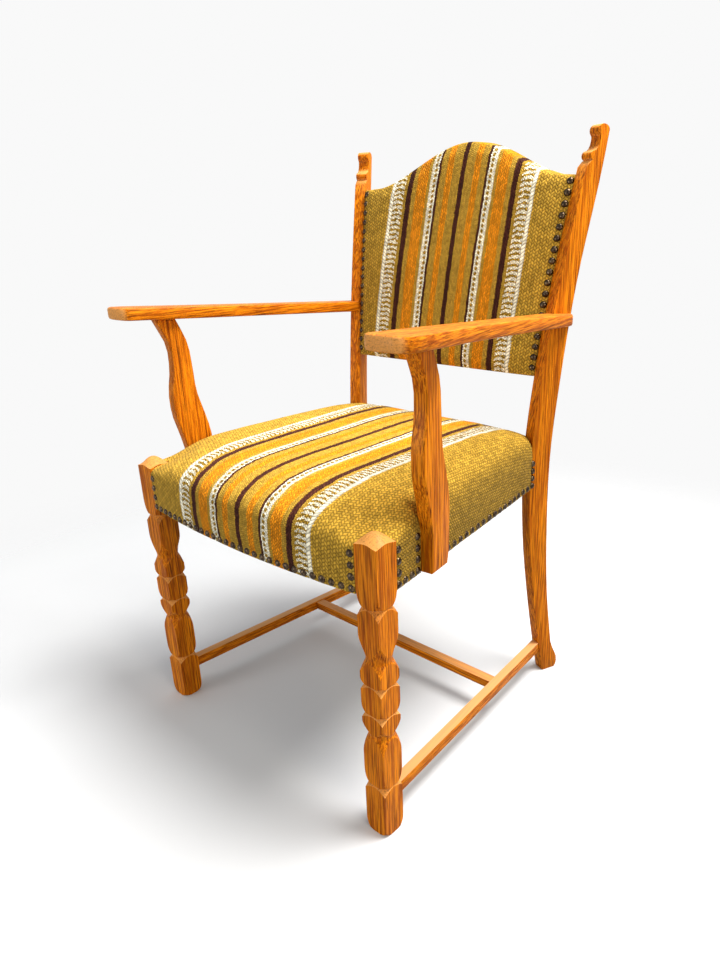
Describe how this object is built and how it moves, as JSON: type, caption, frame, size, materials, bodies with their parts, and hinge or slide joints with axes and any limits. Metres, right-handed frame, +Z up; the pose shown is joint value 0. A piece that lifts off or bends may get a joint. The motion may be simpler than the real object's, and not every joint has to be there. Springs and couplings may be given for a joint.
{
  "type": "captains chair",
  "caption": "High-back oak armchair with turned front legs, swept back posts, flat open arms, and a striped upholstered seat and camel-back panel.",
  "frame": {"origin": "on the floor, below the middle of the chair's plan", "axes": "+X to the viewer's right as seen from the front, +Y from front to back, +Z up; the sitter faces -Y"},
  "size_m": [0.619, 0.5822, 0.932],
  "materials": {
    "oak": "honey-coloured oak under clear satin lacquer",
    "beech": "unfinished frame timber",
    "wool": "coarse woven wool, olive gold with orange, brown and cream stripes",
    "padding": "upholstery padding",
    "jute": "jute webbing",
    "lining": "black bottoming cloth",
    "steel": "plain wood screws"
  },
  "bodies": {
    "root": {"front_leg_left": "oak", "front_leg_right": "oak", "back_post_left": "oak", "back_post_right": "oak", "side_stretcher_left": "oak", "side_stretcher_right": "oak", "cross_stretcher": "oak", "arm_left": "oak", "arm_right": "oak", "arm_post_left": "oak", "arm_post_right": "oak", "arm_post_screw_lower_left": "steel", "arm_post_screw_lower_right": "steel", "arm_post_screw_upper_left": "steel", "arm_post_screw_upper_right": "steel", "side_rail_left": "beech", "side_rail_right": "beech", "front_rail": "beech", "back_rail": "beech", "front_corner_block_left": "beech", "front_corner_block_right": "beech", "rear_corner_block_left": "beech", "rear_corner_block_right": "beech", "crest_rail": "beech", "lower_back_rail": "beech", "back_stile_left": "beech", "back_stile_right": "beech", "back_strap_1": "jute", "back_strap_2": "jute", "back_strap_3": "jute", "back_padding": "padding", "back_cover": "wool", "outside_back_cover": "wool", "seat_strap_long_1": "jute", "seat_strap_long_2": "jute", "seat_strap_long_3": "jute", "seat_strap_cross_1": "jute", "seat_strap_cross_2": "jute", "seat_strap_cross_3": "jute", "seat_padding": "padding", "seat_cover": "wool", "seat_dust_cover": "lining"}
  },
  "joints": []
}
